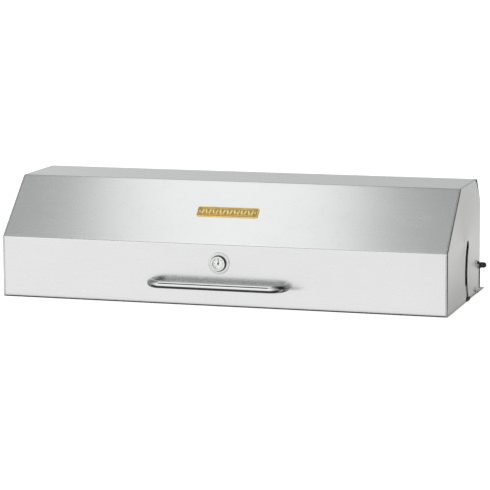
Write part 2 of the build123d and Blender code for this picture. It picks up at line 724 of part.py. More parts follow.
def right_pivot_bolt():
    """From inside the ear, out through the end panel's bush to the knob."""
    head = hex_x(M8_HEX, WEB_INNER - 5.3, WEB_INNER, PIVOT_Y, PIVOT_Z)
    return head + rod_x(PIVOT_BOLT, WEB_INNER, PIVOT_BOLT_END, PIVOT_Y, PIVOT_Z)


def right_pivot_spacer():
    """Keeps the end panel off the ear."""
    return ring_x(18, PIVOT_BOLT + 0.2, WEB_OUTER, PANEL_INNER - BODY_GAP, PIVOT_Y, PIVOT_Z)


def right_pivot_washer():
    """A thick ring between the bush and the knob."""
    return ring_x(12, PIVOT_BOLT + 0.2, PIVOT_WASHER_SEAT, KNOB_SEAT, PIVOT_Y, PIVOT_Z)


def right_pivot_knob():
    """A round cap nut, slightly tapered, with a domed end."""
    radius = KNOB_DIAMETER / 2
    end = KNOB_SEAT + KNOB_LENGTH
    half = PIVOT_BOLT / 2
    body = turned_about_x([
        (KNOB_SEAT, half), (KNOB_SEAT, radius - 0.6), (KNOB_SEAT + 0.6, radius), (end - 6, radius - 0.5),
        (end - 2, radius - 1.8), (end - 0.6, radius - 3.6), (end, radius - 5.6), (end, 0),
        (PIVOT_BOLT_END, 0), (PIVOT_BOLT_END, half),
    ], PIVOT_Y, PIVOT_Z)
    return body


# ---- assembly --------------------------------------------------------------------------------
os.makedirs("parts", exist_ok=True)

single_pieces = [
    lid_shell, handle_backing_plate, handle_tube, badge_plate,
    thermometer_flange, thermometer_case, thermometer_bezel, thermometer_lens, thermometer_dial,
    thermometer_bush, thermometer_stem, thermometer_washer, thermometer_nut, bimetal_coil,
    thermometer_spindle, thermometer_pointer,
    rear_skirt, pivot_screws, rear_panel, join_rivets,
]
for make in single_pieces:
    export(make(), make.__name__)

right_hand_pieces = [
    right_end_panel, right_edge_trim, right_pivot_bush, right_side_bracket, right_join_plate, right_bumper,
    right_pivot_bolt, right_pivot_spacer, right_pivot_washer, right_pivot_knob,
]
for make in right_hand_pieces:
    piece = make()
    export(piece, make.__name__)
    export(mirrored(piece), make.__name__.replace("right", "left"))

paired_pieces = {
    "handle_end_plugs": handle_end_plug,
    "handle_washers": handle_washer,
    "handle_screws": handle_screw,
    "badge_rivets": badge_rivet,
    "stop_bolts": right_stop_bolt,
    "stop_sleeves": right_stop_sleeve,
    "stop_washers": right_stop_washer,
    "stop_nuts": right_stop_nut,
}
for name, make in paired_pieces.items():
    export(pair(make()), name)
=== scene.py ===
import bpy, bmesh
import math
from mathutils import Matrix, Vector


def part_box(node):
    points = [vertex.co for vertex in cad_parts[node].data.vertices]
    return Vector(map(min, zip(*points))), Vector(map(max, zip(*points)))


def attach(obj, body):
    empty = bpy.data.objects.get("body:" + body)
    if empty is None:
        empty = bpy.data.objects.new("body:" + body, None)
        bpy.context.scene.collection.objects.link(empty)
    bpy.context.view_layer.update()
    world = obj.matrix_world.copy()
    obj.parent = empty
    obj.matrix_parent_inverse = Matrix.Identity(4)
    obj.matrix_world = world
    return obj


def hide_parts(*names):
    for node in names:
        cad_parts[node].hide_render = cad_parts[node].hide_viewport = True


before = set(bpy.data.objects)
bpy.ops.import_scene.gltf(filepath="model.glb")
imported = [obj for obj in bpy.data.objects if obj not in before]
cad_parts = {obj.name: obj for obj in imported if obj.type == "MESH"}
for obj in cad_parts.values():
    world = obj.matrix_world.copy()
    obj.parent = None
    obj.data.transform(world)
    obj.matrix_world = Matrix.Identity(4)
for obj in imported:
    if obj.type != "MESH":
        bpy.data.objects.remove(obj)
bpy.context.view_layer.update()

# Looks for a roll dome of brushed stainless steel. Metres, +X to the right, -Y is the front, +Z is up.
MM = 0.001
CAP_DEPTH = 4.5 * MM           # the end panels' folds start this far in from the ends
HAIRLINE = 0.45 * MM           # the shell stops this much short of them

shell_low, shell_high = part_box("lid_shell")
FRONT_Y = shell_low.y          # outer face of the front panel
SHELL_END = shell_high.x - CAP_DEPTH - HAIRLINE
WING_FRONT_Y = 332.7 * MM      # this far behind FRONT_Y, and above WING_LOW_Z, the shell is at full width
WING_LOW_Z = 239.3 * MM


# ---- camera and light ------------------------------------------------------------------------
CAMERA_PLACE = Vector((1.7655, -5.73815, 1.0545))
CAMERA_YAW = 17.04             # degrees round from straight in front, to the right
CAMERA_PITCH = 8.78            # downwards
CAMERA_ROLL = -0.29
CAMERA_LENS = 172.7            # on a sensor 36 wide


def columns_matrix(*columns):
    """A 4x4 matrix from its X, Y and Z axes and its origin."""
    return Matrix([[column[row] for column in columns] for row in range(3)] + [(0, 0, 0, 1)])


def look_camera():
    """A long lens in front, a little above and to the right, level to within a third of a degree."""
    yaw, pitch, roll = (math.radians(angle) for angle in (CAMERA_YAW, CAMERA_PITCH, CAMERA_ROLL))
    forward = Vector((-math.sin(yaw) * math.cos(pitch), math.cos(yaw) * math.cos(pitch), -math.sin(pitch)))
    right = Vector((math.cos(yaw), math.sin(yaw), 0))
    up = right.cross(forward)
    x_axis = math.cos(roll) * right + math.sin(roll) * up
    y_axis = -math.sin(roll) * right + math.cos(roll) * up
    data = bpy.data.cameras.new("camera")
    data.sensor_width = 36.0
    data.lens = CAMERA_LENS
    data.clip_end = 100
    camera = bpy.data.objects.new("camera", data)
    camera.matrix_world = columns_matrix(x_axis, y_axis, -forward, CAMERA_PLACE)
    bpy.context.scene.collection.objects.link(camera)
    bpy.context.scene.camera = camera


class Graph:
    """A short way to build a node tree: sockets are linked and plain values are set."""

    def __init__(self, tree):
        self.tree = tree
        self.tree.nodes.clear()

    def add(self, kind, values=None, **settings):
        node = self.tree.nodes.new(kind)
        for key, value in settings.items():
            setattr(node, key, value)
        for key, value in (values or {}).items():
            self.feed(node.inputs[key], value)
        return node

    def feed(self, socket, value):
        if isinstance(value, bpy.types.NodeSocket):
            self.tree.links.new(value, socket)
        else:
            socket.default_value = value

    def math(self, operation, a, b=0.0, clamp=False):
        return self.add("ShaderNodeMath", {0: a, 1: b}, operation=operation, use_clamp=clamp).outputs[0]

    def rise(self, value, low, high, to_low=0.0, to_high=1.0):
        """A smooth step from one level to another."""
        node = self.add("ShaderNodeMapRange", {
            "Value": value, "From Min": low, "From Max": high, "To Min": to_low, "To Max": to_high,
        }, interpolation_type="SMOOTHSTEP")
        return node.outputs["Result"]

    def noise(self, vector, scale, detail=2.0, roughness=0.5):
        node = self.add("ShaderNodeTexNoise", {
            "Vector": vector, "Scale": scale, "Detail": detail, "Roughness": roughness,
        })
        return node.outputs[0]

    def stretch(self, vector, scale):
        return self.add("ShaderNodeVectorMath", {0: vector, 1: scale}, operation="MULTIPLY").outputs[0]

    def mix(self, factor, a, b):
        """From one colour to another. A mix node's colours are its sockets 6 and 7, and its output 2."""
        node = self.add("ShaderNodeMix", {"Factor": factor}, data_type="RGBA")
        self.feed(node.inputs[6], a)
        self.feed(node.inputs[7], b)
        return node.outputs[2]

    def product(self, *values):
        total = values[0]
        for value in values[1:]:
            total = self.math("MULTIPLY", total, value)
        return total

    def less(self, share):
        """What is left after a share is taken away."""
        return self.math("SUBTRACT", 1.0, share)

    def split(self, vector):
        """X, Y and Z."""
        return self.add("ShaderNodeSeparateXYZ", {0: vector}).outputs

    def camera_sees(self, seen, mirrored, kind):
        """Show one shader to the camera and light everything with another."""
        ray = self.add("ShaderNodeLightPath").outputs["Is Camera Ray"]
        both = self.add("ShaderNodeMixShader", {0: ray, 1: mirrored.outputs[0], 2: seen.outputs[0]})
        self.add(kind, {"Surface": both.outputs[0]})


def studio_world():
    """White where the camera looks past the floor. What metal reflects is a soft studio with darker cards,
    each a smooth step in the way's x, y and z."""
    world = bpy.data.worlds.new("studio")
    bpy.context.scene.world = world
    world.use_nodes = True
    graph = Graph(world.node_tree)
    way = graph.add("ShaderNodeTexCoord").outputs["Generated"]
    x, y, z = graph.split(way)
    # the base level: bright low down, greyer overhead, brighter in front and dimmer behind
    overhead = graph.rise(z, 0.35, 0.85, 0.95, 0.40)
    front = graph.rise(y, 0.15, -0.55, 0.0, 0.45)
    back = graph.rise(y, -0.1, 0.6, 0.0, 0.18)
    right_back = graph.product(graph.rise(x, -0.05, 0.15), graph.rise(y, 0.1, 0.5, 0.0, -0.10))
    level = graph.math("SUBTRACT", graph.math("ADD", overhead, front), back)
    level = graph.math("SUBTRACT", level, right_back)
    # a dark bar high in front, which draws the dark line along the handle
    up = graph.math("ABSOLUTE", graph.math("SUBTRACT", z, 0.68))
    across = graph.math("ABSOLUTE", graph.math("ADD", x, 0.31))
    bar = graph.product(graph.rise(up, 0.19, 0.13), graph.rise(across, 0.17, 0.10), graph.rise(y, -0.1, -0.3))
    # a nearly black card on the right, which darkens the folds at the right end
    right = graph.product(graph.rise(x, 0.32, 0.55), graph.rise(y, 0.50, 0.20, 0.0, 0.94),
                          graph.rise(y, -0.58, -0.38))
    # a grey card far behind, for the flat top
    far = graph.product(graph.rise(x, -0.45, -0.10), graph.rise(x, 0.20, 0.05),
                        graph.rise(y, 0.4, 0.7, 0.0, 0.22))
    level = graph.product(level, graph.less(graph.product(bar, 0.96)), graph.less(far), graph.less(right))
    studio = graph.add("ShaderNodeBackground", {"Color": (0.98, 1.0, 1.0, 1), "Strength": level})
    plain = graph.add("ShaderNodeBackground", {"Color": (1, 1, 1, 1), "Strength": 1.0})
    graph.camera_sees(plain, studio, "ShaderNodeOutputWorld")


def softbox(name, centre, target, width, depth, radiance):
    """A rectangular light that looks equally bright at any size. The camera doesn't see it."""
    data = bpy.data.lights.new(name, "AREA")
    data.shape = "RECTANGLE"
    data.size = width
    data.size_y = depth
    data.energy = radiance * math.pi * width * depth
    lamp = bpy.data.objects.new(name, data)
    lamp.location = centre
    aim = Vector(target) - Vector(centre)
    lamp.rotation_euler = aim.to_track_quat("-Z", "Y").to_euler()
    lamp.visible_camera = False
    bpy.context.scene.collection.objects.link(lamp)


def stage_sheet(name, low, high, z):
    """A flat rectangle between two corners, and the graph of its new material."""
    mesh = bpy.data.meshes.new(name)
    corners = [(low[0], low[1], z), (high[0], low[1], z), (high[0], high[1], z), (low[0], high[1], z)]
    mesh.from_pydata(corners, [], [(0, 1, 2, 3)])
    sheet = bpy.data.objects.new(name, mesh)
    bpy.context.scene.collection.objects.link(sheet)
    material, graph = start_material(name)
    mesh.materials.append(material)
    return sheet, graph


def studio_floor():
    """A pale floor. In reflections a white card lies on it in front, and it glows less beside and behind the
    object. Far to the right, in front, it is unlit."""
    reach = 20
    floor, graph = stage_sheet("floor", (-reach, -reach), (reach, reach), 0)
    x, y, z = graph.split(graph.add("ShaderNodeTexCoord").outputs["Object"])
    white = graph.add("ShaderNodeBsdfDiffuse", {"Color": (0.82, 0.82, 0.82, 1)})
    glow = graph.add("ShaderNodeEmission", {"Color": (1, 1, 1, 1), "Strength": 0.72})
    seen = graph.add("ShaderNodeAddShader", {0: white.outputs[0], 1: glow.outputs[0]})
    card = graph.rise(y, FRONT_Y + 0.002, FRONT_Y - 0.03, 0.0, 1.18)
    behind = graph.product(graph.rise(y, 0.22, 0.34, 0.0, 0.70), graph.rise(x, -0.5, 0.8, 1.05, 1.25))
    beside = graph.rise(graph.math("ABSOLUTE", x), 0.585, 0.60, 0.0, 0.68)
    unlit = graph.product(graph.rise(x, 0.62, 0.80), graph.rise(y, 0.16, -0.02))
    level = graph.math("MAXIMUM", card, graph.math("MAXIMUM", behind, beside))
    level = graph.product(level, graph.less(graph.product(unlit, 0.95)))
    mirrored = graph.add("ShaderNodeEmission", {"Color": (1, 1, 0.99, 1), "Strength": level})
    graph.camera_sees(seen, mirrored, "ShaderNodeOutputMaterial")


def painted_shade_sheet():
    """A dark sheet just under the handle, seen only in reflections: painted shade that stands for the shade
    on the floor under the handle.
    """
    low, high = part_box("handle_tube")
    reach = high.x + 9 * MM
    back, front, under = low.y + 10 * MM, low.y - 17 * MM, low.z - 3 * MM
    shade_sheet, graph = stage_sheet("shade_sheet", (-reach, front), (reach, back), under)
    shade_grey = graph.add("ShaderNodeBsdfDiffuse", {"Color": (0.12, 0.12, 0.12, 1)})
    graph.add("ShaderNodeOutputMaterial", {"Surface": shade_grey.outputs[0]})
    shade_sheet.visible_camera = False
    shade_sheet.visible_shadow = False
    shade_sheet.visible_diffuse = False


# ---- materials -------------------------------------------------------------------------------
SCRATCHES = 2400               # per metre across the grain
STREAKS = 420


def start_material(name):
    material = bpy.data.materials.new(name)
    material.use_nodes = True
    return material, Graph(material.node_tree)


def finish_material(graph, values):
    shader = graph.add("ShaderNodeBsdfPrincipled", values)
    graph.add("ShaderNodeOutputMaterial", {"Surface": shader.outputs[0]})


def bump(graph, height, strength, distance):
    """Distance is in metres."""
    node = graph.add("ShaderNodeBump", {"Height": height, "Strength": strength, "Distance": distance})
    return node.outputs[0]


def grey(level, warmth=0.0):
    """A neutral colour, slightly warm or cool."""
    return (level * (1 + warmth), level, level * (1 - warmth), 1)


def scaled(colour, factor, lift=0.0):
    """A colour made lighter or darker, up to full white."""
    return [min(channel * factor + lift, 1) for channel in colour[:3]] + [1]


def brushed_steel(name, colour, grain, roughness=0.26, anisotropy=0.6, along_uv=False, gouge=0.015,
                  bend_shade_and_rough_from=None, fold_painted_shade=0.0):
    """Fine scratches along one axis, broader streaks, and faint cloudy wear.

    grain divides the scratches' density on each axis, so the largest number is the way they run: in object
    space, or in the piece's own grain map where along_uv is set. gouge is how deep they look. Further from
    the middle than bend_shade_and_rough_from, the colour is darker, painted shade at a tube's bends, and the
    metal is rougher. fold_painted_shade says how much darker the end panels' folds are painted, a painted
    shadow line along the seams.
    """
    material, graph = start_material(name)
    coordinates = graph.add("ShaderNodeTexCoord")
    vector = coordinates.outputs["UV" if along_uv else "Object"]
    fine = graph.noise(graph.stretch(vector, [SCRATCHES / g for g in grain]), 1.0, 3.0, 0.65)
    broad = graph.noise(graph.stretch(vector, [STREAKS / g ** 0.9 for g in grain]), 1.0, 2.0, 0.5)
    cloud = graph.noise(vector, 7.0, 3.0, 0.55)
    smudge = graph.noise(vector, 23.0, 4.0, 0.6)
    streak = graph.math("ADD", graph.product(fine, 0.6), graph.product(broad, 0.4))
    tone = graph.rise(streak, 0.36, 0.64)
    shade = graph.product(graph.rise(cloud, 0.3, 0.7), 0.35)
    light = graph.math("ADD", graph.product(tone, 0.65), shade)
    base = graph.mix(light, scaled(colour, 0.975), scaled(colour, 1.02))
    rough = graph.math("ADD", graph.product(tone, 0.025), roughness - 0.012)
    rough = graph.math("ADD", rough, graph.product(graph.rise(smudge, 0.45, 0.75), 0.02))
    # Painted shade: past this distance from the middle the base colour is darkened towards a tube's bends;
    # the added roughness makes the bends rougher.
    if bend_shade_and_rough_from:
        across = graph.math("ABSOLUTE", graph.split(coordinates.outputs["Object"])[0])
        bend_shade_and_rough = graph.rise(across, bend_shade_and_rough_from, bend_shade_and_rough_from + 20 * MM)
        base = graph.mix(graph.product(bend_shade_and_rough, 0.68), base, grey(0.03))
        rough = graph.math("ADD", rough, graph.product(bend_shade_and_rough, 0.08))
    # Painted shade: the end panels' folds along the front and the slope are darkened, a painted shadow line
    # along the seams.
    if fold_painted_shade:
        fold = painted_fold_shade_mask(graph, coordinates.outputs["Object"])
        base = graph.mix(graph.product(fold, fold_painted_shade), base, grey(0.02))
    if along_uv:
        tangent = graph.add("ShaderNodeTangent", direction_type="UV_MAP", uv_map="grain")
    else:
        tangent = graph.add("ShaderNodeTangent", direction_type="RADIAL", axis="X")
    finish_material(graph, {
        "Base Color": base, "Metallic": 1.0, "Roughness": rough, "Anisotropic": anisotropy,
        "Normal": bump(graph, streak, gouge, 0.02 * MM), "Tangent": tangent.outputs[0],
    })
    return material


def painted_fold_shade_mask(graph, vector):
    """Where the painted shadow line goes along the seams: 1 on the rounded folds where an end panel meets the
    front and the slope, 0 elsewhere. depth is how far a point lies inside the nearer of those two faces."""
    x, y, z = graph.split(vector)
    foot, head = shell_outline()[2:4]
    slope = (head - foot).normalized()
    behind_front = graph.math("SUBTRACT", y, FRONT_Y)
    above_foot = graph.math("SUBTRACT", z, foot.y)
    under_slope = graph.math("SUBTRACT", graph.product(behind_front, slope.y),
                             graph.product(above_foot, slope.x))
    depth = graph.math("MINIMUM", behind_front, under_slope)
    across = graph.math("ABSOLUTE", x)
    end = shell_high.x
    return graph.product(graph.rise(across, end - 3.0 * MM, end - 2.2 * MM),
                         graph.rise(across, end - 0.15 * MM, end - 0.4 * MM),
                         graph.rise(depth, 4.5 * MM, 3.5 * MM))


def plain_metal(name, colour, roughness, scale, wear=0.06):
    """Turned, plated or rolled metal: fine mottling in tone and gloss, with scale spots to a metre."""
    material, graph = start_material(name)
    vector = graph.add("ShaderNodeTexCoord").outputs["Object"]
    grain = graph.noise(vector, scale, 4.0, 0.6)
    patch = graph.noise(vector, scale / 9, 3.0, 0.5)
    dark = scaled(colour, 0.86)
    base = graph.mix(graph.rise(grain, 0.3, 0.7), dark, colour)
    base = graph.mix(graph.rise(patch, 0.5, 0.8, 0.0, 0.25), base, dark)
    rough = graph.math("ADD", graph.rise(patch, 0.3, 0.7, -wear, wear), roughness)
    finish_material(graph, {
        "Base Color": base, "Metallic": 1.0, "Roughness": rough,
        "Normal": bump(graph, grain, 0.12, 0.03 * MM),
    })
    return material


def moulded(name, colour, roughness, scale, depth):
    """Plastic or rubber with a fine moulded texture of the given depth, and faint dust."""
    material, graph = start_material(name)
    vector = graph.add("ShaderNodeTexCoord").outputs["Object"]
    grain = graph.noise(vector, scale, 5.0, 0.7)
    dust = graph.noise(vector, scale / 30, 4.0, 0.6)
    pale = scaled(colour, 1.9, 0.012)
    base = graph.mix(graph.rise(dust, 0.45, 0.8, 0.0, 0.5), colour, pale)
    base = graph.mix(graph.rise(grain, 0.4, 0.75, 0.0, 0.35), base, pale)
    rough = graph.math("ADD", graph.rise(grain, 0.2, 0.8, -0.06, 0.08), roughness)
    finish_material(graph, {
        "Base Color": base, "Roughness": rough, "Specular IOR Level": 0.4,
        "Normal": bump(graph, grain, 0.35, depth),
    })
    return material


def gold_plate(name):
    """Satin gold with darker antiquing down in the recess."""
    material, graph = start_material(name)
    coordinates = graph.add("ShaderNodeTexCoord")
    vector = coordinates.outputs["Object"]
    grain = graph.noise(vector, 1400, 4.0, 0.6)
    patch = graph.noise(vector, 90, 3.0, 0.5)
    sink = graph.add("ShaderNodeVertexColor", layer_name="depth").outputs["Color"]
    base = graph.mix(graph.rise(grain, 0.3, 0.7), (0.74, 0.53, 0.17, 1), (0.90, 0.68, 0.27, 1))
    base = graph.mix(graph.rise(patch, 0.4, 0.75, 0.0, 0.3), base, (0.70, 0.48, 0.15, 1))
    depth = graph.split(sink)[0]
    base = graph.mix(graph.product(depth, 0.6), base, (0.17, 0.095, 0.02, 1))
    rough = graph.math("ADD", graph.rise(patch, 0.3, 0.7, 0.30, 0.42), graph.product(depth, 0.15))
    finish_material(graph, {
        "Base Color": base, "Metallic": 0.85, "Roughness": rough,
        "Normal": bump(graph, grain, 0.2, 0.03 * MM),
    })
    return material


def lens_glass():
    """Clear glass with a faint wipe mark in its gloss."""
    material, graph = start_material("lens_glass")
    vector = graph.add("ShaderNodeTexCoord").outputs["Object"]
    wipe = graph.noise(graph.stretch(vector, (160, 160, 620)), 1.0, 3.0, 0.5)
    finish_material(graph, {
        "Base Color": (1.0, 1.0, 1.0, 1), "Roughness": graph.rise(wipe, 0.4, 0.8, 0.0, 0.05),
        "Transmission Weight": 1.0, "IOR": 1.15,
    })
    return material


def dial_enamel():
    """White enamel, a little yellowed and with fine specks."""
    material, graph = start_material("dial_enamel")
    vector = graph.add("ShaderNodeTexCoord").outputs["Object"]
    speck = graph.noise(vector, 2600, 2.0, 0.5)
    patch = graph.noise(vector, 120, 3.0, 0.5)
    base = graph.mix(graph.rise(patch, 0.35, 0.7), (0.95, 0.95, 0.955, 1), (0.99, 0.99, 0.99, 1))
    base = graph.mix(graph.rise(speck, 0.68, 0.8, 0.0, 0.4), base, (0.75, 0.75, 0.75, 1))
    finish_material(graph, {
        "Base Color": base, "Roughness": graph.rise(patch, 0.3, 0.7, 0.32, 0.45),
        "Normal": bump(graph, speck, 0.05, 0.02 * MM),
    })
    return material


# ---- mesh helpers ----------------------------------------------------------------------------
ON_AXIS = 1e-7                 # a profile's point nearer the axis than this lies on it


def new_piece(name, mesh, material, slot, body, *replaced, crease=32):
    """Finish a piece: shading, material, and what it stands for and rides on."""
    for polygon in mesh.polygons:
        polygon.use_smooth = True
    mesh.set_sharp_from_angle(angle=math.radians(crease))
    mesh.materials.append(material)
    piece = bpy.data.objects.new(name, mesh)
    bpy.context.scene.collection.objects.link(piece)
    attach(piece, body)
    if replaced:
        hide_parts(*replaced)
    return piece


def to_mesh(name, bm):
    """Outward normals, then a mesh."""
    bmesh.ops.recalc_face_normals(bm, faces=bm.faces)
    mesh = bpy.data.meshes.new(name)
    bm.to_mesh(mesh)
    bm.free()
    return mesh


def join_rings(bm, first, second):
    """Quads between two rings of vertices."""
    faces = []
    for i in range(len(first)):
        j = (i + 1) % len(first)
        faces.append(bm.faces.new((first[i], first[j], second[j], second[i])))
    return faces


def cap_rings(bm, rings):
    """Join rings of vertices one to the next and close both ends."""
    for first, second in zip(rings, rings[1:]):
        join_rings(bm, first, second)
    bm.faces.new(rings[0])
    bm.faces.new(rings[-1])


def lay_grain(face, layer, *spots):
    """Give a face its place along and across the grain, in metres."""
    for loop, spot in zip(face.loops, spots):
        loop[layer].uv = spot


def frame_of(axis, origin):
    """A matrix whose local Z is the given axis and whose origin is the given point."""
    turn = Vector(axis).to_track_quat("Z", "Y").to_matrix().to_4x4()
    return Matrix.Translation(origin) @ turn


def turns(steps):
    """Angles evenly round a circle."""
    return [2 * math.pi * i / steps for i in range(steps)]


def add_lathe(bm, profile, matrix, steps=64):
    """Revolve a closed profile of (radius, height) points about local Z."""
    rings = []
    for radius, height in profile:
        if radius < ON_AXIS:
            rings.append([bm.verts.new(matrix @ Vector((0, 0, height)))])
            continue
        circle = [Vector((radius * math.cos(t), radius * math.sin(t), height)) for t in turns(steps)]
        rings.append([bm.verts.new(matrix @ spot) for spot in circle])
    for i in range(len(rings)):
        first, second = rings[i], rings[(i + 1) % len(rings)]
        if len(first) == 1 and len(second) == 1:
            continue
        if len(first) == 1 or len(second) == 1:
            tip, ring = (first[0], second) if len(first) == 1 else (second[0], first)
            for k in range(steps):
                bm.faces.new((tip, ring[k], ring[(k + 1) % steps]))
            continue
        join_rings(bm, first, second)


def softened(profile, radius, steps=3):
    """Round each corner of a closed profile, except where it meets the axis."""
    points = []
    count = len(profile)
    for i, here in enumerate(profile):
        before, after = Vector(profile[i - 1]), Vector(profile[(i + 1) % count])
        corner = Vector(here)
        if here[0] < ON_AXIS:
            points.append(tuple(here))
            continue
        reach_in = min(radius, (before - corner).length * 0.45)
        reach_out = min(radius, (after - corner).length * 0.45)
        start = corner + (before - corner).normalized() * reach_in
        end = corner + (after - corner).normalized() * reach_out
        for k in range(steps + 1):
            t = k / steps
            point = (1 - t) ** 2 * start + 2 * t * (1 - t) * corner + t * t * end
            points.append((point.x, point.y))
    return points


def lathe(name, profile, axis, origin, material, slot, body, *replaced, round_by=0.2 * MM, steps=72):
    """A turned piece, its corners rounded."""
    bm = bmesh.new()
    add_lathe(bm, softened(profile, round_by), frame_of(axis, origin), steps)
    return new_piece(name, to_mesh(name, bm), material, slot, body, *replaced)


def add_block(bm, matrix, size, chamfer):
    """A block with chamfered edges, its underside at local Z 0."""
    verts = bmesh.ops.create_cube(bm, size=1.0)["verts"]
    for vert in verts:
        vert.co = Vector((vert.co.x * size[0], vert.co.y * size[1], (vert.co.z + 0.5) * size[2]))
    edges = list({edge for vert in verts for edge in vert.link_edges})
    bevelled = bmesh.ops.bevel(bm, geom=edges, offset=chamfer, segments=2, profile=0.5, affect="EDGES")
    moved = {vert for face in bevelled["faces"] for vert in face.verts}
    for vert in moved:
        vert.co = matrix @ vert.co


# ---- the shell -------------------------------------------------------------------------------
SHEET = 1.5 * MM
BEND = 4 * MM                  # outside radius of every fold in the shell
BEND_STEPS = 8
PITCH = 8 * MM                 # between points along the flats
COLUMNS = 60                   # across the width
EASE = 0.3 * MM                # raw edges are rounded off by this much
HOLLOW = 0.28 * MM             # how far the flats sink at most


def shell_outline():
    """Corners of the folded sheet's outer face as (y, z), y measured back from the front face. These are the
    CAD's own sizes in mm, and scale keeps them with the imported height."""
    corners = [(20, 1), (0, 1), (0, 157.3), (151.6, 299), (348.5, 300), (398, 232), (398, 84)]
    scale = shell_high.z / max(z for y, z in corners)
    return [Vector((y * MM + FRONT_Y, z * scale)) for y, z in corners]


def folded_path(corners, radius, arc_steps, pitch):
    """Points along rounded corners as (point, outward normal), closely spaced along the flats."""
    stations = []
    start = corners[0]
    for i in range(1, len(corners)):
        along = (corners[i] - corners[i - 1]).normalized()
        normal = Vector((-along.y, along.x))
        last = i == len(corners) - 1
        if last:
            end = corners[i]
        else:
            onward = (corners[i + 1] - corners[i]).normalized()
            turn = along.angle(onward)
            end = corners[i] - along * radius * math.tan(turn / 2)
        count = max(1, round((end - start).length / pitch))
        for k in range(count + 1):
            stations.append((start.lerp(end, k / count), normal))
        if last:
            break
        centre = end - normal * radius
        for k in range(1, arc_steps):
            swung = Matrix.Rotation(-turn * k / arc_steps, 2) @ normal
            stations.append((centre + swung * radius, swung))
        start = corners[i] + onward * radius * math.tan(turn / 2)
    return stations


def shell_grid(bm, stations, wing, places):
    """For each column, the outer and inner vertex of each row that it has. The two outermost columns have
    only the wing's rows."""
    last = len(places) - 1
    grid = []
    for c, x in enumerate(places):
        column = {}
        for r in (wing if c in (0, last) else range(len(stations))):
            point, normal = stations[r]
            at_end = c in (0, last) or (c in (1, last - 1) and r not in wing)
            eased = EASE if at_end or r in (0, len(stations) - 1) else 0.0
            hollow = dish(x, point)
            outer = bm.verts.new((x, *(point - normal * (eased + hollow))))
            inner = bm.verts.new((x, *(point - normal * (SHEET - eased + hollow))))
            column[r] = (outer, inner)
        grid.append(column)
    return grid


def shell_sheet():
    """One folded sheet with rolled corners and eased raw edges. Its flats are very slightly hollow, as rolled
    sheet is between its folds. At the rear facet it runs out to full width, like wings, where the end panels
    are cut back."""
    stations = folded_path(shell_outline(), BEND, BEND_STEPS, PITCH)
    wing = [r for r, (point, _) in enumerate(stations)
            if point.x - FRONT_Y > WING_FRONT_Y and point.y > WING_LOW_Z]
    middle = [-SHELL_END + 2 * SHELL_END * k / COLUMNS for k in range(1, COLUMNS)]
    left_end = [-shell_high.x, -SHELL_END, -SHELL_END + EASE]
    places = left_end + middle + [-x for x in reversed(left_end)]
    last = len(places) - 1
    travelled = [0.0]
    for (here, _), (before, _) in zip(stations[1:], stations):
        travelled.append(travelled[-1] + (here - before).length)
    bm = bmesh.new()
    layer = bm.loops.layers.uv.new("grain")
    grid = shell_grid(bm, stations, wing, places)
    for c in range(last):
        near, far = grid[c], grid[c + 1]
        left, right = places[c], places[c + 1]
        shared = [r for r in near if r in far]
        for r in shared[:-1]:
            start, end = travelled[r], travelled[r + 1]
            for side in (0, 1):
                face = bm.faces.new((near[r][side], far[r][side], far[r + 1][side], near[r + 1][side]))
                lay_grain(face, layer, (left, start), (right, start), (right, end), (left, end))
        for r in (shared[0], shared[-1]):
            bm.faces.new((near[r][0], far[r][0], far[r][1], near[r][1]))
    for c in (0, 1, last - 1, last):
        column = grid[c]
        for r in list(column)[:-1]:
            inside_wing = c in (1, last - 1) and r in wing and r + 1 in wing
            if not inside_wing:
                bm.faces.new((column[r][0], column[r + 1][0], column[r + 1][1], column[r][1]))
    mesh = to_mesh("shell_sheet", bm)
    return new_piece("shell_sheet", mesh, STEEL_SHELL, "brushed_stainless", "lid", "lid_shell")


def dish(x, point):
    """How far the sheet is hollow at a point: not at its folds and ends, and most in the middle of a flat."""
    across = math.cos(math.pi * x / (2 * SHELL_END)) ** 0.5 if abs(x) < SHELL_END else 0.0
    ripple = 0.5 + 0.5 * math.sin(9.1 * x + 23.0 * point.x + 31.0 * point.y)
    corners = shell_outline()
    for before, after in zip(corners, corners[1:]):
        span = after - before
        share = (point - before).dot(span) / span.length_squared
        off = abs((point - before).cross(span)) / span.length
        if 0 <= share <= 1 and off < 0.01 * MM:
            return HOLLOW * across * math.sin(math.pi * share) ** 2 * ripple
    return 0.0


# ---- handle ----------------------------------------------------------------------------------
BOW_BEND = 35 * MM             # the centreline's radius at the two corners
BOW_WALL = 1.5 * MM
BOW_STEPS = 48                 # sides round the tube
LEG_LENGTHS = 4                # lengths along a straight leg, a bend and half of the grip
BEND_LENGTHS = 16
GRIP_LENGTHS = 6


def tube_path(half, front_y, foot_y, height):
    """Points along the tube's centreline from foot to foot, each with its direction."""
    arc_y = front_y + BOW_BEND
    left = [(Vector((-half, foot_y + (arc_y - foot_y) * k / LEG_LENGTHS, height)), Vector((0, -1, 0)))
            for k in range(LEG_LENGTHS + 1)]
    for k in range(1, BEND_LENGTHS + 1):
        turn = math.pi / 2 * k / BEND_LENGTHS
        x, y = BOW_BEND - half - BOW_BEND * math.cos(turn), arc_y - BOW_BEND * math.sin(turn)
        left.append((Vector((x, y, height)), Vector((math.sin(turn), -math.cos(turn), 0))))
    reach = half - BOW_BEND
    middle = [(Vector((reach * (k / GRIP_LENGTHS - 1), front_y, height)), Vector((1, 0, 0)))
              for k in range(1, 2 * GRIP_LENGTHS)]
    right = [(Vector((-spot.x, spot.y, spot.z)), Vector((way.x, -way.y, 0))) for spot, way in reversed(left)]
    return left + middle + right


